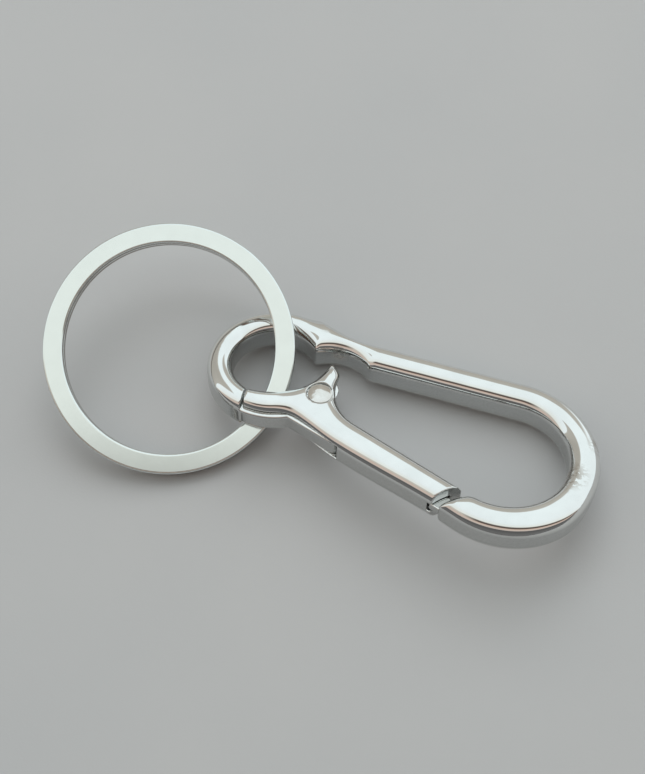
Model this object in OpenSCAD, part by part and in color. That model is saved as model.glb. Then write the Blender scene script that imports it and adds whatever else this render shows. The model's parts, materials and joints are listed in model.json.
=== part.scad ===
// Carabiner keyring: a cast snap hook with a small eye, a sprung gate lever on a rivet, and a
// split ring through the eye. The pieces are drawn flat about the rivet, then laid on a table.

/* [Hook] */
// Inner radius of the hook's big end
seat_r = 8.2; // [8:0.1:9]
// Width of the bar of the hook and of the gate, seen from above
bar_w = 4.1; // [3.7:0.1:4.3]
// Thickness of the hook and of the gate lever
thick = 5.2; // [5:0.1:5.4]
// Size of the rounding along the bar's long edges
edge_r = 1.3; // [0.9:0.1:1.5]
// Gap between the gate's free end and the nose
nose_gap = 0.9; // [0.7:0.1:1.3]

/* [Eye] */
// Inner radius of the small eye
eye_r = 5.9; // [5.7:0.05:6]
// Width of the eye's bar
eye_w = 3.5; // [3.3:0.05:3.6]
// Thickness of the tongue that runs between the lever's cheeks
tongue_t = 2.5; // [2.2:0.1:2.6]

/* [Rivet and spring] */
// Diameter of the rivet's shank
shank_d = 2; // [1.8:0.1:2.1]
// Diameter of the rivet's heads
head_d = 3.3; // [3.1:0.1:3.5]
// Diameter of the spring's wire
wire_d = 0.4; // [0.3:0.05:0.4]

/* [Split ring] */
// Outer diameter of the split ring
ring_d = 35; // [34:0.5:36]
// Width of the ring's flat wire
ring_w = 2.8; // [2.4:0.1:3]
// Thickness of one coil of the ring
coil_t = 1.1; // [0.9:0.05:1.2]

/* [Hidden] */
$fn = 96;
cut = 20;

// How the flat pieces come to rest on the table: turns about X and Y, then a shift
lie_turn = [-16.96, -1.89];
lie_shift = [0.958, 1.663, 5.834];

// Half the angle between the spine and the closed gate
wedge = 9.5;
run_fit = 0.05;
joint_lap = 0.05;
seat_c = [25.6, 3.3];
eye_c = [-8.2, 2.4];
bar_out = seat_r + bar_w;
eye_out = eye_r + eye_w;
slot_t = tongue_t + 2 * run_fit;
cheek_out = eye_out - 0.7;

// A point beside the gate: s runs to the right along it, n away from the seat's centre
function gate_pt(s, n) = seat_c + s * [cos(wedge), -sin(wedge)] - n * [sin(wedge), cos(wedge)];
function arc_pts(c, r, from, to, n) = [
    for (i = [0 : n]) let (a = from + (to - from) * i / n) c + r * [cos(a), sin(a)]
];

// The closed gate's end face is a hollow arc, and the nose follows it nose_gap away
end_arc_c = gate_pt(5.5, 14.2);
end_arc_r = 9;

// The faces of the eye and of the lever that meet when the gate is shut
stop_top = [-9.65, -2.3];
stop_low = [-8.2, -8];
stop_gap = [0.12, 0.03];

// The end of the spine inside the eye's bar, the recess in the spine, and the outline of the
// lever's head with the hollows on its two sides
spine_end_s = -27.4;
recess_c = [0, 2.4];
recess_r = 6.4;
recess_bevel = 0.6;
hollow_c = [-8.2, 3.4];
hollow_r = 6.1;
flank_r = 6.5;
flank_s = -18.15;
arm_from_s = -19.5;
head_left_s = -28.3;
head_right_s = -16;
horn_tip = [-1.35, 6.2];
horn_corner = [1.1, 4.4];
horn_root = [-2.4, 3.2];

// What is cut away from the eye's bar to the right of the lever's left arm
eye_gap_outline = [stop_top, stop_low, [-8, -12], [0, -12], [0, -2]];

// The slot between the lever's cheeks, and the tongue's edge on the inner side of the slot's end
slot_end_s = -18;
slot_outline = [
    [-13, -12], gate_pt(slot_end_s, bar_out + 6), gate_pt(slot_end_s, bar_out - 1.9),
    [2.9, 0.9], [3.2, 9], [-13, 9]
];
tongue_inner_pts = [
    gate_pt(slot_end_s - 0.4, bar_out - 1.6), [1.7, 0.7], [-0.9, 1.6], [-4, 0.5], [-9.4, -3.3]
];
tongue_corner_r = 0.9;
tongue_corner_c = gate_pt(slot_end_s - 1.3, bar_out - 0.7);

// The nose's tab and the notch for it in the gate's end; the tab's end slants, so that the notch
// clears it when the gate swings in
tab_t = 1.2;
tab_play = 0.15;
tab_outline = [
    gate_pt(-3.7, bar_out - 0.2), gate_pt(-1, bar_out - 0.2),
    gate_pt(-0.5, bar_out - 2.6), gate_pt(-3.15, bar_out - 2.6)
];
notch_outline = [
    gate_pt(-3.9, bar_out + 1), gate_pt(1, bar_out + 1),
    gate_pt(1, bar_out - 2.8), gate_pt(-3.9, bar_out - 2.8)
];

// Places round the rivet: the lug that carries it, the seats of its heads, the spring's pocket
lug_r = 2.1;
head_seat_z = 2;
pocket_r = 1.75;
pocket_z = -0.7;
pit_depth = 0.45;
head_gap = 0.2;
leg_swing_from = -62;
leg_swing = 115;
leg_swing_r = 4;
leg_groove_w = 0.7;

// The spring's coil climbs from its fixed leg, in the tongue, to the leg that reaches the lever;
// both legs leave the coil along its tangent
coil_r = 1.35;
coil_z = pocket_z + wire_d / 2 + 0.05;
coil_pitch = wire_d + 0.05;
coil_steps = 46;
fixed_leg_a = 210;
fixed_leg_l = 2.6;
leg_pit = [3, -1];
coil_from = fixed_leg_a + 90;
coil_to = 4 * 360 + atan2(leg_pit[1], leg_pit[0]) - acos(coil_r / norm(leg_pit));
leg_z = coil_z + coil_pitch * (coil_to - coil_from) / 360;

// The ring: the middle of its wire passes through the eye at ring_hub; it is turned about X, Y
// and Z from lying flat with its centre to the left of the eye
ring_hub = [-7.4, 3.2, -0.15];
ring_turn = [34.5, 4.5, 19.2];

// The wire's two ends show as slits in the two coils, split_half to each side of split_a
split_a = -20;
split_half = 7;
slit_w = 0.16;

// ---- Shapes shared by several pieces ----

// A rectangle with rounded corners, three points to a corner
module bar_section(w, t, r) {
    corner = [for (a = [0 : 45 : 90]) r * [cos(a), sin(a)]];
    right = [for (p = corner) p + [w / 2 - r, t / 2 - r]];
    left = [for (p = corner) [-p[1], p[0]] + [r - w / 2, t / 2 - r]];
    polygon(concat(right, left, [for (p = right) -p], [for (p = left) -p]));
}

module bar_along(s_from, s_to, side) {
    translate(seat_c) rotate(side * wedge)
        translate([s_from, side * (seat_r + bar_w / 2), 0])
            rotate([90, 0, 90]) linear_extrude(s_to - s_from) bar_section(bar_w, thick, edge_r);
}

module bar_round(c, r, w, from, to) {
    translate(c) rotate(from) rotate_extrude(angle = to - from)
        translate([r + w / 2, 0]) bar_section(w, thick, edge_r);
}

// A round cut through the whole thickness, with a flare that bevels both edges
module flared_cut(c, r, bevel) {
    h = thick / 2;
    translate(c) rotate_extrude() polygon([
        [0, -2 * h], [r + bevel + h, -2 * h], [r, bevel - h],
        [r, h - bevel], [r + bevel + h, 2 * h], [0, 2 * h]
    ]);
}

module plate(t) {
    translate([0, 0, -t / 2]) linear_extrude(t) children();
}

// ---- The hook: big end, spine, nose, eye and tongue in one casting ----

module nose() {
    intersection() {
        bar_along(-4, joint_lap, -1);
        translate(end_arc_c) cylinder(h = cut, r = end_arc_r - nose_gap, center = true);
    }
    plate(tab_t) polygon(tab_outline);
}

module eye() {
    difference() {
        bar_round(eye_c, eye_r, eye_w, 40, 272);
        plate(cut) polygon(eye_gap_outline);
    }
}

module tongue_outline() {
    difference() {
        polygon(concat(
            arc_pts(eye_c, eye_out - 0.04, -97, -51, 12),
            arc_pts(tongue_corner_c, tongue_corner_r, -90 - wedge, -wedge, 4),
            tongue_inner_pts
        ));
        translate(eye_c) circle(eye_r + 0.4);
    }
    circle(lug_r);
}

module tongue() {
    difference() {
        plate(tongue_t) tongue_outline();
        cylinder(h = cut, d = shank_d + 2 * run_fit, center = true);
        // the spring's pocket, the way round for its moving leg and the groove for its fixed leg
        translate([0, 0, pocket_z]) cylinder(h = thick, r = pocket_r);
        translate([0, 0, leg_z - wire_d]) rotate(leg_swing_from) rotate_extrude(angle = leg_swing)
            square([leg_swing_r, thick]);
        translate([0, 0, pocket_z]) rotate(fixed_leg_a) translate([0, pocket_r - leg_groove_w])
            cube([fixed_leg_l + wire_d, leg_groove_w, thick]);
    }
}

module hook_body() {
    color("silver") {
        bar_round(seat_c, seat_r, bar_w, -90 - wedge, 90 + wedge);
        difference() {
            union() {
                bar_along(spine_end_s, joint_lap, 1);
                eye();
            }
            flared_cut(recess_c, recess_r, recess_bevel);
        }
        nose();
        tongue();
    }
}

// ---- The gate lever: arm, horn and two cheeks over the tongue ----

module left_arm_outline(inset) {
    intersection() {
        translate(eye_c) circle(cheek_out - inset);
        polygon([stop_top + stop_gap, stop_low + stop_gap, [-3, -8], [-1, -4], [0, 0], horn_root]);
    }
}

module head_outline(inset) {
    inside = 0.4 + inset;
    polygon([
        gate_pt(head_left_s, bar_out - inset), gate_pt(head_right_s, bar_out - inset),
        gate_pt(head_right_s, seat_r + inside), gate_pt(flank_s, seat_r + inside),
        horn_corner - inset * [0.7, 0.7], [-0.7, 6] - inset * [0, 1.2],
        horn_tip + inset * [0.6, -1.4], horn_root + inset * [1, 0], [-5, -1.5]
    ]);
}

module lever_outline(inset) {
    difference() {
        union() {
            left_arm_outline(inset);
            head_outline(inset);
        }
        translate(hollow_c) circle(hollow_r + inset);
        translate(gate_pt(flank_s, seat_r - flank_r)) circle(flank_r + inset);
    }
}

// The head's edges step back in three levels, which stand for the rounding of the arm
module lever_head() {
    r = 0.8 * edge_r;
    for (a = [15, 45, 75])
        plate(thick - 2 * r * (1 - sin(a))) lever_outline(r * (1 - cos(a)));
}

module gate_arm() {
    difference() {
        bar_along(arm_from_s, 1, -1);
        translate(end_arc_c) cylinder(h = cut, r = end_arc_r, center = true);
        plate(tab_t + 2 * tab_play) polygon(notch_outline);
    }
}

module gate_lever() {
    color("gainsboro") difference() {
        union() {
            lever_head();
            gate_arm();
        }
        plate(slot_t) polygon(slot_outline);
        cylinder(h = cut, d = shank_d + 0.02, center = true);
        for (side = [0, 1]) mirror([0, 0, side])
            translate([0, 0, head_seat_z]) cylinder(h = thick, d = head_d + 2 * head_gap);
        // the pit that the spring's moving leg hooks into
        translate(leg_pit) cylinder(h = slot_t / 2 + pit_depth, r = wire_d);
    }
}

// ---- The rivet: a shank with a low dome at each end ----

module pivot_rivet() {
    top = head_seat_z + 0.7;
    shoulder = top - 0.1;
    rim = head_seat_z + 0.35;
    head_r = head_d / 2;
    upper = [
        [shank_d / 2, head_seat_z], [head_r, head_seat_z], [head_r, rim], [0.6 * head_r, shoulder], [0, top]
    ];
    lower = [for (i = [len(upper) - 1 : -1 : 0]) [upper[i][0], -upper[i][1]]];
    color("lightgray") rotate_extrude() polygon(concat(lower, upper));
}

// ---- The torsion spring: a coil round the shank, one leg in the tongue and one in the lever ----

function unit(v) = v / norm(v);
function coil_pt(a) = [coil_r * cos(a), coil_r * sin(a), coil_z + coil_pitch * (a - coil_from) / 360];

// A wire swept along points: each joint's ring lies across the mean of its two neighbours
module wire(path, d, sides) {
    last = len(path) - 1;
    r = d / 2;
    rings = [for (i = [0 : last])
        let (along = unit(path[min(i + 1, last)] - path[max(i - 1, 0)]),
             across = unit(cross(along, abs(along[2]) > 0.7 ? [1, 0, 0] : [0, 0, 1])),
             up = cross(across, along))
        [for (k = [0 : sides - 1]) let (a = 360 * k / sides) path[i] + r * (cos(a) * across + sin(a) * up)]
    ];
    sheath = [for (i = [0 : last - 1]) for (k = [0 : sides - 1])
        let (k2 = (k + 1) % sides, base = i * sides)
        [base + k, base + k2, base + sides + k2, base + sides + k]];
    ends = [[for (k = [sides - 1 : -1 : 0]) k], [for (k = [0 : sides - 1]) last * sides + k]];
    polyhedron([for (r = rings) each r], concat(sheath, ends));
}

module torsion_spring() {
    fixed_dir = [cos(fixed_leg_a), sin(fixed_leg_a), 0];
    bend = 0.2;
    start = coil_pt(coil_from);
    finish = coil_pt(coil_to);
    knee = [leg_pit[0], leg_pit[1], leg_z];
    tip = [leg_pit[0], leg_pit[1], slot_t / 2 + pit_depth - 0.15];
    color("darkgray") wire(concat(
        [start + fixed_leg_l * fixed_dir],
        [for (i = [0 : coil_steps]) coil_pt(coil_from + (coil_to - coil_from) * i / coil_steps)],
        [knee - bend * unit(knee - finish), knee + [0, 0, bend], tip]
    ), wire_d, 8);
}

// ---- The split ring: two flat coils pressed together, with a wire end on each side ----

module split_ring() {
    r_out = ring_d / 2;
    r_in = r_out - ring_w;
    b = 0.25;
    color("silver") translate(ring_hub) rotate(ring_turn) translate([ring_w / 2 - r_out, 0, 0])
    difference() {
        rotate_extrude() polygon([
            [r_in + b, -coil_t], [r_out - b, -coil_t], [r_out, b - coil_t], [r_out, -b], [r_out - b, 0],
            [r_out, b], [r_out, coil_t - b], [r_out - b, coil_t], [r_in + b, coil_t], [r_in, coil_t - b],
            [r_in, b], [r_in + b, 0], [r_in, -b], [r_in, b - coil_t]
        ]);
        for (side = [-1, 1])
            rotate(split_a + side * split_half) translate([r_in - 1, -slit_w / 2, side > 0 ? 0 : -coil_t])
                cube([ring_w + 2, slit_w, coil_t]);
    }
}

// ---- The pieces as they lie ----

module lie() {
    translate(lie_shift) rotate([lie_turn[0], lie_turn[1], 0]) children();
}

lie() hook_body();
lie() gate_lever();
lie() pivot_rivet();
lie() torsion_spring();
lie() split_ring();
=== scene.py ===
"""Looks of a small cast carabiner with a split ring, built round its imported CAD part.

The shapes are drawn in millimetres in the keyring's own flat frame: the origin is on the rivet at
mid-thickness, x runs along the hook towards its big end, y towards the spine and z up through the
top face. flat_frame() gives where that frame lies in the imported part.
"""

import json
import math

import bpy
import numpy as np
from mathutils import Matrix, Vector


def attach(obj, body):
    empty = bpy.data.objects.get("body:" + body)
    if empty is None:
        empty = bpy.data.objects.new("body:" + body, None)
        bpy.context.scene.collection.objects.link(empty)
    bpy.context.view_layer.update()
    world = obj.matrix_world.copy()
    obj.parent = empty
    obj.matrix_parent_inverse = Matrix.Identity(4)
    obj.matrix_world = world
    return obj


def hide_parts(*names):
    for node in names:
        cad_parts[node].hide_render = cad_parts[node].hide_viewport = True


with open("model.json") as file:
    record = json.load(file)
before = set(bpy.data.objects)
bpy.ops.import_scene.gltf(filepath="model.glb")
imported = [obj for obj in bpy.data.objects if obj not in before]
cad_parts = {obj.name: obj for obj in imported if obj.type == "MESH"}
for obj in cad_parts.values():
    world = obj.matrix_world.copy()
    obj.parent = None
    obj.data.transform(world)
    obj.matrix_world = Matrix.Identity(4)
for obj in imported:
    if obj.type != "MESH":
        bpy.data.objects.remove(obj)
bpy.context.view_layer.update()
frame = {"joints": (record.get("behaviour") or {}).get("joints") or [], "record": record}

MM = 0.001
# A distance past any piece, and how far each piece is let in so that it stays inside the CAD's box
FAR = 1e3
SKIN = 0.025

# The castings' main sizes. Bars, eye, rivet and slot are the CAD's; the lever's head, the spine's
# end and the swells follow the real outline a little more closely.
SEAT_C = np.array([25.6, 3.3])
SEAT_R = 8.2
BAR_W = 4.1
BAR_OUT = SEAT_R + BAR_W
THICK = 5.2
EDGE_R = 1.3
CROWN_R = 4.5
BEND_SWELL = 0.55
GATE_SWELL = 0.5
WEDGE = math.radians(9.5)
EYE_C = np.array([-8.2, 2.4])
EYE_R = 5.9
EYE_OUT = 9.4
END_ARC_R = 9.0
NOSE_GAP = 0.9
STOP_TOP = np.array([-9.65, -2.3])
STOP_LOW = np.array([-8.2, -8.0])
STOP_GAP = 0.16
SPINE_END_S = -28.6
RECESS_C = np.array([0.0, 2.4])
RECESS_R = 6.4
HOLLOW_C = np.array([-10.25, 5.05])
HOLLOW_R = 8.62
HORN_TIP = np.array([-1.25, 6.3])
HORN_CORNER = np.array([1.1, 4.6])
CHEEK_OUT = 8.7
FLANK_R = 6.5
FLANK_S = -18.15
SLOT_END_S = -18.0
SLOT_T = 2.6
TONGUE_T = 2.5
LUG_R = 2.1
TAB_T = 1.2
TAB_PLAY = 0.15
PIN_BORE_R = 1.05
SHANK_R = 1.0
SEAT_Z = 2.0
HEAD_R = 1.65
HEAD_GAP = 0.14

# The split ring and the spring
RING_R = 17.5
RING_W = 2.8
COIL_T = 1.1
SPLIT_A = -20.0
WIRE_R = 0.2
COIL_R = 1.35


# ---- Where the flat frame lies ----

def record_entry(entries, name):
    return next(e for e in entries if e["name"] == name)


def flat_frame():
    """The matrix from the flat frame, in millimetres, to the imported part, in metres."""
    hinge = record_entry(frame["joints"], "gate_hinge")
    seat = record_entry(frame["record"]["mounts"], "hook_seat")
    origin = Vector(hinge["pos_m"])
    up = Vector(hinge["axis"]).normalized()
    to_seat = (Vector(seat["pos_m"]) - origin).normalized()
    x = Matrix.Rotation(-math.atan2(SEAT_C[1], SEAT_C[0]), 3, up) @ to_seat
    turned = Matrix((x, up.cross(x), up)).transposed().to_4x4()
    return Matrix.Translation(origin) @ turned @ Matrix.Scale(MM, 4)


FLAT = flat_frame()


# ---- Distance fields: negative inside, in millimetres ----

def blend_union(a, b, k):
    """The union of two fields, with a fillet about k wide where they meet."""
    h = np.clip(0.5 + 0.5 * (b - a) / k, 0, 1)
    return b * (1 - h) + a * h - k * h * (1 - h)


def blend_cut(a, b, k):
    """What is in both fields, with the edge where they cross softened about k wide."""
    return -blend_union(-a, -b, k)


def disc(p, centre, r):
    return np.hypot(p[:, 0] - centre[0], p[:, 1] - centre[1]) - r


def half_plane(p, point, angle):
    """Distance past the line through point that is square to the direction at angle (radians)."""
    return (p[:, 0] - point[0]) * math.cos(angle) + (p[:, 1] - point[1]) * math.sin(angle)


def gate_coords(p):
    """How far to the right along the gate, and how far out from the seat's centre."""
    q = p[:, :2] - SEAT_C
    s = q[:, 0] * math.cos(WEDGE) - q[:, 1] * math.sin(WEDGE)
    n = -q[:, 0] * math.sin(WEDGE) - q[:, 1] * math.cos(WEDGE)
    return s, n


def spine_coords(p):
    q = p[:, :2] - SEAT_C
    s = q[:, 0] * math.cos(WEDGE) + q[:, 1] * math.sin(WEDGE)
    n = -q[:, 0] * math.sin(WEDGE) + q[:, 1] * math.cos(WEDGE)
    return s, n


def gate_pt(s, n):
    along = np.array([math.cos(WEDGE), -math.sin(WEDGE)])
    out = -np.array([math.sin(WEDGE), math.cos(WEDGE)])
    return SEAT_C + s * along + n * out


END_ARC_C = gate_pt(5.5, 14.2)
FLANK_C = gate_pt(FLANK_S, SEAT_R - FLANK_R)


def polygon(p, points):
    """Signed distance to a closed outline of straight edges."""
    pts = np.asarray(points, float)
    nearest = np.full(len(p), 1e9)
    inside = np.zeros(len(p), bool)
    for a, b in zip(pts, np.roll(pts, -1, axis=0)):
        edge = b - a
        q = p[:, :2] - a
        t = np.clip(q @ edge / (edge @ edge), 0, 1)
        nearest = np.minimum(nearest, np.hypot(q[:, 0] - t * edge[0], q[:, 1] - t * edge[1]))
        if a[1] != b[1]:
            crosses = (a[1] > p[:, 1]) != (b[1] > p[:, 1])
            at = a[0] + (p[:, 1] - a[1]) * edge[0] / edge[1]
            inside ^= crosses & (p[:, 0] < at)
    return np.where(inside, -nearest, nearest)


def arc(centre, r, a0, a1, n):
    a = np.radians(np.linspace(a0, a1, n + 1))
    return np.stack([centre[0] + r * np.cos(a), centre[1] + r * np.sin(a)], 1)


def plate(p, plan, half, r, drop=0):
    """A plan shape with the given half thickness, its long edges rounded by r and its faces let
    down by drop."""
    u = plan + r
    v = np.abs(p[:, 2]) - (half - r) + drop
    return np.minimum(np.maximum(u, v), 0) + np.hypot(np.maximum(u, 0), np.maximum(v, 0)) - r


def crown(p, plan):
    """How far the bar's slightly domed faces lie below their middle line. It fades out towards the
    eye, whose bar is rounder still."""
    return (1 - eye_share(p)) * np.maximum(BAR_W / 2 + plan, 0) ** 2 / (2 * CROWN_R)


def smooth(t):
    t = np.clip(t, 0, 1)
    return t * t * (3 - 2 * t)


def eye_share(p):
    """0 along the bars, 1 at the eye, with a smooth change between them."""
    return smooth((-1.5 - p[:, 0]) / 5)


def stop_side(p):
    """Distance to the right of the faces where the eye meets the shut lever."""
    face = STOP_LOW - STOP_TOP
    return half_plane(p, STOP_TOP, math.atan2(face[0], -face[1]))


# ---- The hook ----

def bend_swell(p):
    """How far the bend's outer side stands out, from the nose to the right end."""
    a = np.degrees(np.arctan2(p[:, 1] - SEAT_C[1], p[:, 0] - SEAT_C[0]))
    return BEND_SWELL * smooth((a + 120) / 75) * smooth(-a / 35)


def hook_plan(p):
    s_spine, n_spine = spine_coords(p)
    s_gate, n_gate = gate_coords(p)
    outer = BAR_OUT + bend_swell(p)
    half = (outer - SEAT_R) / 2
    mid = outer - half
    spine = np.where(s_spine <= 0, np.abs(n_spine - mid), FAR)
    nose = np.where(s_gate <= 0, np.abs(n_gate - mid), FAR)
    bend = np.where((s_spine >= 0) | (s_gate >= 0), np.abs(disc(p, SEAT_C, mid)), FAR)
    bar = np.minimum(np.minimum(spine, nose), bend) - half
    # the nose's end follows the gate's; the cut stops short of the bend's inner wall
    nose_end = disc(p, END_ARC_C, END_ARC_R - NOSE_GAP)
    bar = np.where((s_gate < 3) & (n_gate > 0), blend_cut(bar, nose_end, 0.5), bar)
    bar = np.maximum(bar, SPINE_END_S - s_spine)
    ring = np.abs(disc(p, EYE_C, (EYE_R + EYE_OUT) / 2)) - (EYE_OUT - EYE_R) / 2
    both = blend_union(bar, ring, 4.5)
    both = np.maximum(both, -disc(p, EYE_C, EYE_R))
    return blend_cut(both, -disc(p, RECESS_C, RECESS_R), 0.35)


def tongue_plan(p):
    edge = arc(EYE_C, EYE_OUT - 0.04, -97, -51, 16)
    corner = arc(gate_pt(SLOT_END_S - 1.3, BAR_OUT - 0.7), 0.9, -99.5, -9.5, 6)
    inner = [gate_pt(SLOT_END_S - 0.4, BAR_OUT - 1.6), [1.7, 0.7], [-0.9, 1.6], [-4, 0.5], [-9.4, -3.3]]
    blade = polygon(p, np.vstack([edge, corner, inner]))
    blade = np.maximum(blade, -disc(p, EYE_C, EYE_R + 0.4))
    return np.minimum(blade, disc(p, [0, 0], LUG_R))


def edge_radius(p):
    """The long edges' rounding: the eye's bar is nearly half round on top."""
    return EDGE_R + 0.27 * eye_share(p)


def hook_field(p):
    plan = hook_plan(p)
    body = plate(p, plan, THICK / 2, edge_radius(p), crown(p, plan))
    # the eye's bar is open to the right of its stop face, below the tongue
    eye_gap = np.minimum(stop_side(p), np.minimum(-1.9 - p[:, 1], 8 - p[:, 0]))
    body = blend_cut(body, eye_gap, 0.2)
    tongue = plate(p, tongue_plan(p), TONGUE_T / 2, 0.35)
    tongue = blend_cut(tongue, PIN_BORE_R - np.hypot(p[:, 0], p[:, 1]), 0.1)
    tab = polygon(p, [gate_pt(-3.7, BAR_OUT - 0.2), gate_pt(-1, BAR_OUT - 0.2),
                      gate_pt(-0.5, BAR_OUT - 2.6), gate_pt(-3.15, BAR_OUT - 2.6)])
    return np.minimum(blend_union(body, tongue, 0.2), plate(p, tab, TAB_T / 2, 0.2))


# ---- The gate lever ----

def lever_plan(p):
    s, n = gate_coords(p)
    across = HORN_CORNER - HORN_TIP
    swell = GATE_SWELL * smooth((s + 25) / 7) * smooth((-2 - s) / 15)
    outer = blend_union(n - BAR_OUT - swell, disc(p, EYE_C, CHEEK_OUT), 1.2)
    right = np.where(s > FLANK_S, SEAT_R - n, -disc(p, FLANK_C, FLANK_R))
    top = half_plane(p, HORN_TIP, math.atan2(across[0], -across[1]))
    top = np.where(p[:, 0] < 2.5, top, -FAR)
    plan = blend_cut(np.maximum(outer, right), -disc(p, HOLLOW_C, HOLLOW_R), 0.3)
    return blend_cut(plan, top, 0.7)


def lever_field(p):
    plan = lever_plan(p)
    body = plate(p, plan, THICK / 2, EDGE_R, crown(p, plan))
    body = blend_cut(body, STOP_GAP - stop_side(p), 0.35)
    body = blend_cut(body, -disc(p, END_ARC_C, END_ARC_R), 0.2)
    slot = polygon(p, [[-13, -12], gate_pt(SLOT_END_S, BAR_OUT + 6), gate_pt(SLOT_END_S, BAR_OUT - 1.9),
                       [2.9, 0.9], [3.2, 9], [-13, 9]])
    body = blend_cut(body, -plate(p, slot, SLOT_T / 2, 0.05), 0.22)
    notch = polygon(p, [gate_pt(-3.9, BAR_OUT + 1), gate_pt(1, BAR_OUT + 1),
                        gate_pt(1, BAR_OUT - 2.8), gate_pt(-3.9, BAR_OUT - 2.8)])
    body = blend_cut(body, -plate(p, notch, TAB_T / 2 + TAB_PLAY, 0.05), 0.15)
    radius = np.hypot(p[:, 0], p[:, 1])
    head_seat = np.maximum(radius - HEAD_R - HEAD_GAP, SEAT_Z - np.abs(p[:, 2]))
    body = blend_cut(body, -head_seat, 0.2)
    return blend_cut(body, SHANK_R + 0.01 - radius, 0.05)


# ---- Meshes from fields ----

def surface_of(field, lo, hi, step):
    """Points and quads of the surface where a field is zero: one point to each grid cell that the
    surface crosses, moved onto the surface, and the surface's normal at each point."""
    axes = [np.arange(a, b + step, step) for a, b in zip(lo, hi)]
    shape = tuple(len(a) for a in axes)
    grid = np.stack(np.meshgrid(*axes, indexing="ij"), -1).reshape(-1, 3)
    inside = (field(grid) < 0).reshape(shape)
    cells = tuple(n - 1 for n in shape)
    count = np.zeros(cells, int)
    for i in (0, 1):
        for j in (0, 1):
            for k in (0, 1):
                count += inside[i:cells[0] + i, j:cells[1] + j, k:cells[2] + k]
    crossed = (count > 0) & (count < 8)
    number = np.full(cells, -1)
    number[crossed] = np.arange(crossed.sum())
    points = (np.argwhere(crossed) + 0.5) * step + np.array(lo)
    quads = []
    for axis in range(3):
        a, b = [np.take(inside, range(m, shape[axis] - 1 + m), axis) for m in (0, 1)]
        u, v = [(axis + 1) % 3, (axis + 2) % 3]
        for flip, hit in ((False, a & ~b), (True, ~a & b)):
            at = np.argwhere(hit)
            at = at[(at[:, u] > 0) & (at[:, v] > 0) & (at[:, u] < cells[u]) & (at[:, v] < cells[v])]
            ring = []
            for du, dv in ((1, 1), (0, 1), (0, 0), (1, 0)):
                c = at.copy()
                c[:, u] -= du
                c[:, v] -= dv
                ring.append(number[tuple(c.T)])
            ring = np.stack(ring, 1)
            quads.append(ring[:, ::-1] if flip else ring)
    quads = np.vstack(quads)
    points, normals = settle(field, points, quads, step)
    return points, quads, normals


def slope(field, p, h=0.01):
    steps = np.eye(3) * h
    return np.stack([(field(p + d) - field(p - d)) / (2 * h) for d in steps], 1)


def settle(field, points, quads, step):
    """Evens out the points and moves them onto the surface."""
    pairs = np.vstack([quads[:, [i, (i + 1) % 4]] for i in range(4)])
    for turn in range(5):
        if turn in (1, 2, 3):
            total = np.zeros_like(points)
            share = np.zeros(len(points))
            np.add.at(total, pairs[:, 0], points[pairs[:, 1]])
            np.add.at(total, pairs[:, 1], points[pairs[:, 0]])
            np.add.at(share, pairs[:, 0], 1)
            np.add.at(share, pairs[:, 1], 1)
            points = 0.5 * points + 0.5 * total / share[:, None]
        for _ in range(2 if turn < 4 else 3):
            g = slope(field, points)
            size = np.maximum((g * g).sum(1), 0.05)
            move = -(field(points) / size)[:, None] * g
            length = np.linalg.norm(move, axis=1, keepdims=True)
            points = points + move * np.minimum(1, 0.6 * step / np.maximum(length, 1e-9))
    g = slope(field, points)
    return points, g / np.maximum(np.linalg.norm(g, axis=1, keepdims=True), 1e-9)


def mesh_piece(name, points, faces, normals=None, flat=FLAT):
    """A mesh object from points in the flat frame, smooth shaded."""
    mesh = bpy.data.meshes.new(name)
    mesh.from_pydata(np.asarray(points).tolist(), [], [[int(i) for i in face] for face in faces])
    mesh.transform(flat)
    mesh.shade_smooth()
    if normals is not None:
        turn = np.array(flat.to_3x3().normalized())
        mesh.normals_split_custom_set_from_vertices((np.asarray(normals) @ turn.T).tolist())
    mesh.update()
    piece = bpy.data.objects.new(name, mesh)
    bpy.context.scene.collection.objects.link(piece)
    return piece


def cast_piece(name, field, lo, hi, step):
    """A casting, let in by a hair so that it stays inside the CAD's box."""
    return mesh_piece(name, *surface_of(lambda p: field(p) + SKIN, lo, hi, step))


# ---- Swept and turned pieces ----

def sweep(path, section, across, up):
    """Points and quads of a closed section carried along a path; across and up are each station's
    directions for the section's two coordinates. Both ends are closed."""
    sides = len(section)
    rings = [c + section[:, :1] * a + section[:, 1:] * u for c, a, u in zip(path, across, up)]
    faces = []
    for i in range(len(path) - 1):
        for k in range(sides):
            k2 = (k + 1) % sides
            faces.append([i * sides + k, i * sides + k2, (i + 1) * sides + k2, (i + 1) * sides + k])
    last = (len(path) - 1) * sides
    faces.append(list(range(sides - 1, -1, -1)))
    faces.append([last + k for k in range(sides)])
    return np.vstack(rings), faces


def rounded_section(w, t, r, n):
    """A rectangle w by t with corners rounded by r, n steps to a corner. A point on the flat beside
    each end of a corner's arc keeps the smooth shading off the flats."""
    out = []
    for quarter in range(4):
        sx, sy = [(1, 1), (-1, 1), (-1, -1), (1, -1)][quarter]
        a = np.radians(np.linspace(0, 90, n + 1) + 90 * quarter)
        centre = np.array([sx * (w / 2 - r), sy * (t / 2 - r)])
        corner = centre + r * np.stack([np.cos(a), np.sin(a)], 1)
        before = corner[0] - 0.25 * r * np.array([-math.sin(a[0]), math.cos(a[0])])
        after = corner[-1] + 0.25 * r * np.array([-math.sin(a[-1]), math.cos(a[-1])])
        out += [[before], corner, [after]]
    return np.vstack(out)


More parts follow.
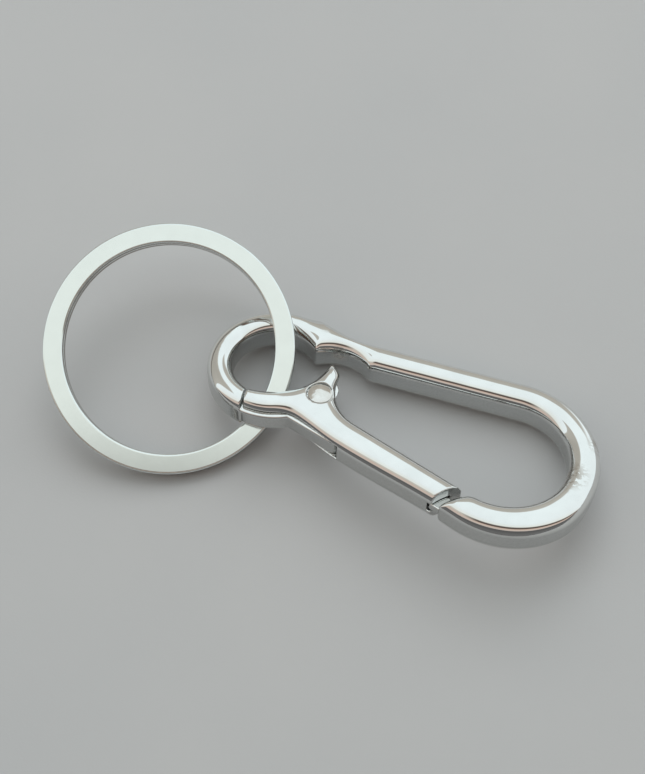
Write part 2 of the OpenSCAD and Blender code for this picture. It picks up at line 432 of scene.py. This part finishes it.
def ring_piece():
    """Two coils of flat wire: flat for most of each turn, with one ramp, in degrees, from the lower
    coil to the upper one between the wire's two ends."""
    ramp = 14.0
    a = np.arange(0, 720 - ramp + 1e-6, 1.0)
    t = np.clip((a - (360 - ramp)) / ramp, 0, 1)
    rise = t * t * t * (t * (6 * t - 15) + 10)
    height = COIL_T * (rise - 0.5)
    theta = np.radians(SPLIT_A + ramp / 2 + a)
    out = np.stack([np.cos(theta), np.sin(theta), 0 * theta], 1)
    path = out * (RING_R - RING_W / 2 - SKIN) + np.outer(height, [0, 0, 1])
    up = np.tile([0.0, 0.0, 1.0], (len(a), 1))
    section = rounded_section(RING_W - SKIN, COIL_T - SKIN, 0.28, 5)
    points, faces = sweep(path, section, out, up)
    faces = [f[::-1] for f in faces]
    return mesh_piece("ring_coils", points, faces, flat=ring_frame())


def ring_frame():
    """The matrix from the ring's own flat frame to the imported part."""
    mount = record_entry(frame["record"]["mounts"], "key_ring")
    hinge = record_entry(frame["joints"], "ring_flip")
    x = Vector(hinge["axis"]).normalized()
    z = Vector(mount["axis"]).normalized()
    turned = Matrix((x, z.cross(x), z)).transposed().to_4x4()
    return Matrix.Translation(Vector(mount["pos_m"])) @ turned @ Matrix.Scale(MM, 4)


def rivet_piece():
    """The rivet turned about its axis, its top dome left slightly uneven by the riveting."""
    rng = np.random.default_rng(7)
    # each bump's place, radius and height
    bumps = [(rng.uniform(-1.1, 1.1, 2), rng.uniform(0.6, 1.0), rng.uniform(-0.04, 0.03)) for _ in range(6)]
    arc_a = np.radians(np.linspace(0, 78, 18))
    dome_r = HEAD_R / math.sin(arc_a[-1]) * 0.995
    dome_foot = SEAT_Z + 0.33
    dome_h = 0.33
    dome = [(dome_r * math.sin(v), dome_foot + dome_h * (math.cos(v) - math.cos(arc_a[-1]))) for v in arc_a]
    profile = dome + [(HEAD_R, SEAT_Z + 0.22), (HEAD_R, SEAT_Z + 0.01), (SHANK_R, SEAT_Z), (SHANK_R, 0.0)]
    profile = profile + [(r, -z) for r, z in reversed(profile[:-1])]
    sides = 72
    points, faces = [], []
    for r, z in profile:
        for k in range(sides):
            a = 2 * math.pi * k / sides
            x, y = r * math.cos(a), r * math.sin(a)
            lift = sum(h * math.exp(-((x - c[0]) ** 2 + (y - c[1]) ** 2) / w ** 2) for c, w, h in bumps)
            on_dome = z > SEAT_Z + 0.25
            points.append((x, y, z + (lift - 0.02 if on_dome else 0)))
    for i in range(len(profile) - 1):
        for k in range(sides):
            k2 = (k + 1) % sides
            faces.append([(i + 1) * sides + k, (i + 1) * sides + k2, i * sides + k2, i * sides + k])
    return mesh_piece("rivet", points, faces)


def spring_piece():
    """A round wire: a fixed leg, three turns, and a leg that turns up into the lever's cheek. The
    castings here leave out the CAD's pocket for it, so it lies in their metal, out of sight."""
    leg_a, leg_l = 210.0, 2.6
    pit = np.array([3.0, -1.0])
    pitch, base = 0.45, -0.45
    from_a = leg_a + 90
    to_a = 4 * 360 + math.degrees(math.atan2(pit[1], pit[0]) - math.acos(COIL_R / np.hypot(*pit)))
    a = np.linspace(from_a, to_a, 120)
    coil = np.stack([COIL_R * np.cos(np.radians(a)), COIL_R * np.sin(np.radians(a)),
                     base + pitch * (a - from_a) / 360], 1)
    leg = coil[0] + leg_l * np.array([math.cos(math.radians(leg_a)), math.sin(math.radians(leg_a)), 0])
    knee = np.array([pit[0], pit[1], coil[-1, 2]])
    back = (coil[-1] - knee) / np.linalg.norm(coil[-1] - knee)
    tip = np.array([pit[0], pit[1], SLOT_T / 2 + 0.3])
    rise = np.array([0, 0, 1.0])
    bend_r = 0.2
    bend = [knee + bend_r * ((1 - math.sin(v)) * back + (1 - math.cos(v)) * rise)
            for v in np.radians([0, 30, 60, 90])]
    path = np.vstack([[leg], coil, bend, [tip]])
    along = np.gradient(path, axis=0)
    along /= np.linalg.norm(along, axis=1, keepdims=True)
    helper = np.where(np.abs(along[:, 2:]) > 0.7, [[1.0, 0, 0]], [[0, 0, 1.0]])
    across = np.cross(along, helper)
    across /= np.linalg.norm(across, axis=1, keepdims=True)
    up = np.cross(across, along)
    v = np.radians(np.arange(0, 360, 30))
    section = WIRE_R * np.stack([np.cos(v), np.sin(v)], 1)
    points, faces = sweep(path, section, across, up)
    return mesh_piece("spring", points, faces)


# ---- Materials ----

class Nodes:
    """A short way to build a material's node tree."""

    def __init__(self, name):
        self.material = bpy.data.materials.new(name)
        self.material.use_nodes = True
        self.tree = self.material.node_tree
        self.shader = self.tree.nodes["Principled BSDF"]
        self.out = self.tree.nodes["Material Output"]
        self.place = self.add("ShaderNodeTexCoord").outputs["Object"]

    def add(self, kind, inputs=(), **settings):
        node = self.tree.nodes.new(kind)
        for key, value in settings.items():
            setattr(node, key, value)
        for key, value in dict(inputs).items():
            if isinstance(value, bpy.types.NodeSocket):
                self.tree.links.new(value, node.inputs[key])
            else:
                node.inputs[key].default_value = value
        return node

    def noise(self, per_mm, detail=3.0, stretch=(1, 1, 1), turn=(0, 0, 0)):
        scaled = self.add("ShaderNodeMapping", {
            "Vector": self.place, "Rotation": [math.radians(t) for t in turn],
            "Scale": [1000 * per_mm * s for s in stretch]})
        node = self.add("ShaderNodeTexNoise", {"Vector": scaled.outputs[0], "Scale": 1.0, "Detail": detail})
        return node.outputs["Fac"]

    def ramp(self, value, stops):
        node = self.add("ShaderNodeValToRGB", {"Fac": value})
        ramp = node.color_ramp
        while len(ramp.elements) < len(stops):
            ramp.elements.new(0.5)
        for element, (at, colour) in zip(ramp.elements, stops):
            element.position = at
            element.color = (*colour, 1) if isinstance(colour, tuple) else (colour,) * 3 + (1,)
        return node.outputs["Color"]

    def bump(self, value, height_mm, under=None):
        inputs = {"Height": value, "Strength": 1.0, "Distance": height_mm * MM}
        if under is not None:
            inputs["Normal"] = under
        return self.add("ShaderNodeBump", inputs).outputs["Normal"]

    def side_share(self, up):
        """1 where the surface is square to up, as on a side wall, and 0 where it faces along it."""
        normal = self.add("ShaderNodeTexCoord").outputs["Normal"]
        facing = self.add("ShaderNodeVectorMath", {0: normal, 1: up}, operation="DOT_PRODUCT")
        facing = self.add("ShaderNodeMath", {0: facing.outputs["Value"]}, operation="ABSOLUTE")
        return self.ramp(facing.outputs[0], [(0.1, 1.0), (0.45, 0.0)])

    def near_share(self, point, r_mm):
        """1 at a point of the flat frame, falling to 0 at r_mm from it."""
        gap = self.add("ShaderNodeVectorMath", {0: self.place, 1: FLAT @ Vector(point)}, operation="DISTANCE")
        gap = self.add("ShaderNodeMath", {0: gap.outputs["Value"], 1: r_mm * MM}, operation="DIVIDE")
        return self.ramp(gap.outputs[0], [(0.4, 1.0), (1.0, 0.0)])

    def mix(self, share, a, b):
        node = self.add("ShaderNodeMix", {0: share, 6: a, 7: b}, data_type="RGBA")
        return node.outputs[2]

    def times(self, a, b):
        return self.add("ShaderNodeMath", {0: a, 1: b}, operation="MULTIPLY").outputs[0]

    def set(self, **values):
        for key, value in values.items():
            socket = self.shader.inputs[key.replace("_", " ")]
            if isinstance(value, bpy.types.NodeSocket):
                self.tree.links.new(value, socket)
            else:
                socket.default_value = value


def polished_plate(name, tint, worn=()):
    """Bright nickel over a casting: slow waves from the polishing, hairline scratches, small pits
    and a slightly uneven shine. The side walls are a little rougher and are painted darker, a painted
    reflection of dark surroundings; round each worn point the plate is rubbed dull in ragged patches."""
    m = Nodes(name)
    up = FLAT.to_3x3().normalized().col[2]
    # the wall tone is painted shade: side walls are painted darker, a painted reflection of dark surroundings
    dark, light, wall = [tuple(c * k for c in tint) for k in (0.95, 1.0, 0.66)]
    side = m.side_share(up)
    grain = m.noise(3.5, 4, (1, 1, 2.5))
    colour = m.ramp(m.noise(0.35, 4), [(0.35, dark), (0.65, light)])
    # painted reflection: the side walls' darker colour stands in for the dark surroundings they mirror
    wall_painted_reflection = m.ramp(grain, [(0.35, tuple(0.86 * c for c in wall)), (0.65, wall)])
    colour = m.mix(side, colour, wall_painted_reflection)
    shine = m.mix(side, m.ramp(m.noise(0.9, 5), [(0.3, 0.03), (0.75, 0.08)]),
                  m.ramp(grain, [(0.3, 0.1), (0.7, 0.24)]))
    waves = m.bump(m.noise(0.22, 1), 0.03)
    hair = m.ramp(m.noise(1.2, 6, (1, 26, 26), (0, 0, 31)), [(0.7, 0.0), (0.78, 1.0)])
    hair = m.bump(hair, 0.0006, waves)
    pits = m.add("ShaderNodeTexVoronoi", {"Vector": m.place, "Scale": 900.0})
    pits = m.ramp(pits.outputs["Distance"], [(0.03, 0.0), (0.07, 1.0)])
    surface = m.bump(pits, 0.002, hair)
    for point, r_mm in worn:
        ragged = m.ramp(m.noise(1.1, 6, (1, 2, 2)), [(0.46, 0.0), (0.5, 1.0)])
        patch = m.times(m.near_share(point, r_mm), ragged)
        colour = m.mix(patch, colour, (0.6, 0.57, 0.53, 1))
        shine = m.mix(patch, shine, (0.3, 0.3, 0.3, 1))
        surface = m.bump(patch, 0.004, surface)
    m.set(Metallic=1.0, Base_Color=colour, Roughness=shine, Normal=surface)
    return m.material


def satin_plate(name, tint):
    """The ring's flat wire: fine satin faces from rolling, with faint rubbing marks from keys, and
    narrow sides painted dark brown, a painted reflection of dark surroundings."""
    m = Nodes(name)
    up = ring_frame().to_3x3().normalized().col[2]
    dark, light = [tuple(c * k for c in tint) for k in (0.97, 1.0)]
    side = m.side_share(up)
    face = m.ramp(m.noise(0.5, 5), [(0.3, dark), (0.7, light)])
    # painted reflection: the narrow sides' dark brown stands in for the dark surroundings they mirror
    edge = m.ramp(m.noise(1.5, 4), [(0.3, (0.17, 0.13, 0.11)), (0.7, (0.27, 0.22, 0.19))])
    m.set(Metallic=1.0, Base_Color=m.mix(side, face, edge))
    m.set(Roughness=m.ramp(m.noise(1.5, 4), [(0.3, 0.07), (0.7, 0.11)]))
    grain = m.bump(m.noise(14, 3), 0.0003)
    rubs = m.ramp(m.noise(0.8, 6, (20, 1, 20), (0, 0, 64)), [(0.72, 0.0), (0.8, 1.0)])
    m.set(Normal=m.bump(rubs, 0.0004, grain))
    return m.material


def rivet_metal(name):
    """Plated steel with the soft dents of riveting."""
    m = Nodes(name)
    colour = m.ramp(m.noise(0.9, 3), [(0.3, (0.74, 0.71, 0.67)), (0.7, (0.84, 0.83, 0.8))])
    m.set(Metallic=1.0, Base_Color=colour)
    m.set(Roughness=m.ramp(m.noise(2, 3), [(0.3, 0.07), (0.7, 0.14)]))
    m.set(Normal=m.bump(m.noise(0.7, 3), 0.04))
    return m.material


def spring_wire(name):
    """Drawn spring wire, darker and duller than the plate."""
    m = Nodes(name)
    colour = m.ramp(m.noise(4, 3), [(0.3, (0.3, 0.3, 0.3)), (0.7, (0.45, 0.45, 0.44))])
    m.set(Metallic=1.0, Base_Color=colour)
    m.set(Roughness=m.ramp(m.noise(6, 3), [(0.3, 0.25), (0.7, 0.4)]))
    m.set(Normal=m.bump(m.noise(12, 2, (1, 1, 6)), 0.003))
    return m.material


def floor_paper(name):
    """Pale matt paper, very slightly uneven."""
    m = Nodes(name)
    m.set(Base_Color=m.ramp(m.noise(0.02, 3), [(0.3, (0.5, 0.505, 0.51)), (0.7, (0.53, 0.53, 0.53))]))
    m.set(Roughness=m.ramp(m.noise(0.5, 3), [(0.3, 0.75), (0.7, 0.85)]))
    m.set(Normal=m.bump(m.noise(3, 4), 0.01))
    return m.material


# ---- The studio ----

def studio_world():
    """Soft light from all round. Straight back there is a white window above a grey wall, which
    rises to the left and ends on the right. The pale ceiling ends in a beam, dark in the middle and
    pale on the left, and behind the camera the room is darker."""
    world = bpy.data.worlds.new("studio")
    bpy.context.scene.world = world
    world.use_nodes = True
    tree = world.node_tree
    where = tree.nodes.new("ShaderNodeTexCoord").outputs["Generated"]

    def math_node(kind, a, b=None):
        node = tree.nodes.new("ShaderNodeMath")
        node.operation = kind
        for socket, value in zip(node.inputs, (a, b)):
            if isinstance(value, bpy.types.NodeSocket):
                tree.links.new(value, socket)
            elif value is not None:
                socket.default_value = value
        return node.outputs[0]

    def along(direction):
        node = tree.nodes.new("ShaderNodeVectorMath")
        node.operation = "DOT_PRODUCT"
        node.inputs[1].default_value = direction
        tree.links.new(where, node.inputs[0])
        return node.outputs["Value"]

    def bands(stops):
        """Colours by the angle in degrees from the back horizon, over the top, to the horizon
        behind the camera."""
        node = tree.nodes.new("ShaderNodeValToRGB")
        tree.links.new(turn, node.inputs["Fac"])
        elements = node.color_ramp.elements
        while len(elements) < len(stops):
            elements.new(0.5)
        for element, (degrees, colour) in zip(elements, stops):
            element.position = degrees / 180
            element.color = (*colour, 1)
        return node.outputs["Color"]

    def mixed(share, a, b):
        node = tree.nodes.new("ShaderNodeMix")
        node.data_type = "RGBA"
        for socket, value in ((node.inputs["Factor"], share), (node.inputs[6], a), (node.inputs[7], b)):
            tree.links.new(value, socket)
        return node.outputs[2]

    back = Vector((-0.40, 0.917, 0)).normalized()
    right = Vector((back.y, -back.x, 0))
    sideways = along(right)
    turn = math_node("DIVIDE", math_node("ARCTAN2", along((0, 0, 1)), along(back)), math.pi)
    rise = math_node("MULTIPLY", math_node("SUBTRACT", -0.06, sideways), 110 / 180)
    rise.node.use_clamp = True
    rise = math_node("MINIMUM", rise, 34 / 180)
    in_front = math_node("LESS_THAN", turn, 64 / 180)
    turn = math_node("SUBTRACT", turn, math_node("MULTIPLY", rise, in_front))
    low_wall, high_wall, window = (0.43, 0.415, 0.375), (0.50, 0.485, 0.44), (0.93, 1.03, 1.05)
    wall = [(0, low_wall), (28.5, high_wall), (30, window)]
    ceiling = [(75, (0.9, 0.98, 1.0)), (105, (0.86, 0.90, 0.86))]
    dark_beam = [(111, (0.14, 0.11, 0.09)), (122, (0.10, 0.08, 0.07))]
    pale_beam = [(111, (0.62, 0.58, 0.52)), (122, (0.58, 0.53, 0.47))]
    behind = [(127, (0.66, 0.50, 0.42)), (138, (0.62, 0.55, 0.50)),
              (143, (0.10, 0.10, 0.10)), (180, (0.18, 0.18, 0.18))]
    middle = bands(wall + ceiling + dark_beam + behind)
    left = bands(wall + ceiling + pale_beam + behind)
    clear = bands([(0, window)] + ceiling + dark_beam + behind)
    to_left = math_node("MULTIPLY", math_node("SUBTRACT", -0.32, sideways), 4.0)
    to_left.node.use_clamp = True
    to_right = math_node("MULTIPLY", math_node("SUBTRACT", sideways, 0.36), 12.0)
    to_right.node.use_clamp = True
    colour = mixed(to_right, mixed(to_left, middle, left), clear)
    shade = tree.nodes["Background"]
    tree.links.new(colour, shade.inputs["Color"])
    shade.inputs["Strength"].default_value = 1.0


def floor():
    """A large sheet, a hair below what lies on it."""
    mesh = bpy.data.meshes.new("floor")
    side = 1.5
    corners = [(-side, -side, 0), (side, -side, 0), (side, side, 0), (-side, side, 0)]
    mesh.from_pydata(corners, [], [(0, 1, 2, 3)])
    piece = bpy.data.objects.new("floor", mesh)
    piece.location.z = -0.02 * MM
    bpy.context.scene.collection.objects.link(piece)
    piece.data.materials.append(floor_paper("floor paper"))


def soft_lamp():
    """A broad lamp from the back left, for the floor's soft shadows."""
    data = bpy.data.lights.new("overhead_softbox", "AREA")
    data.size = 0.5
    data.energy = 1.2
    lamp = bpy.data.objects.new("overhead_softbox", data)
    lamp.location = (-0.15, 0.35, 0.5)
    lamp.rotation_euler = (-lamp.location).to_track_quat("-Z", "Y").to_euler()
    lamp.visible_glossy = False
    bpy.context.scene.collection.objects.link(lamp)


def camera():
    """A phone held above the table, seen in the flat frame: how far the line of sight leans from
    the top face's normal, where it comes from round that normal, and the picture's own tilt."""
    lean, round_at, roll, distance = 40.0, -63.0, 1.5, 167.4
    aim = Vector((-0.131, 0.923, THICK / 2))
    lean, round_at, roll = [math.radians(v) for v in (lean, round_at, roll)]
    back = Vector((math.sin(lean) * math.cos(round_at), math.sin(lean) * math.sin(round_at), math.cos(lean)))
    right = Vector((0, 0, 1)).cross(back).normalized()
    right = Matrix.Rotation(roll, 3, back) @ right
    pose = Matrix((right, back.cross(right), back)).transposed().to_4x4()
    pose.translation = aim + distance * back
    data = bpy.data.cameras.new("camera")
    data.sensor_fit = "HORIZONTAL"
    data.sensor_width = 36
    data.lens = 69.77
    data.clip_start = 0.01
    eye = bpy.data.objects.new("camera", data)
    placed = FLAT @ pose
    location, rotation, _ = placed.decompose()
    eye.location = location
    eye.rotation_mode = "QUATERNION"
    eye.rotation_quaternion = rotation
    bpy.context.scene.collection.objects.link(eye)
    bpy.context.scene.camera = eye


# ---- Putting it together ----

def dress(piece, body, node, material):
    piece.data.materials.append(material)
    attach(piece, body)
    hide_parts(node)


# The castings are meshed inside boxes that clear them all round
step = 0.16
half = THICK / 2 + 0.3
hook = cast_piece("hook", hook_field, (-18.2, -10.5, -half), (38.8, 16.8, half), step)
lever = cast_piece("gate", lever_field, (-10.2, -10.2, -half), (23.6, 7, half), step)

# Points of the hook where the plate is worn, and how far round each, in millimetres
bright = (0.86, 0.865, 0.85)
worn = [((34.2, 3.4, 2.2), 2.8), ((36.0, 10.0, 2.0), 2.0), ((-1.6, 8.4, 0.8), 1.6)]
dress(hook, "hook", "hook_body", polished_plate("hook plate", bright, worn))
dress(lever, "gate", "gate_lever", polished_plate("gate plate", bright))
dress(rivet_piece(), "gate", "pivot_rivet", rivet_metal("rivet metal"))
dress(spring_piece(), "hook", "torsion_spring", spring_wire("spring wire"))
dress(ring_piece(), "ring", "split_ring", satin_plate("ring plate", (0.86, 0.9, 0.88)))

studio_world()
floor()
soft_lamp()
camera()
bpy.context.scene.view_settings.view_transform = "Standard"
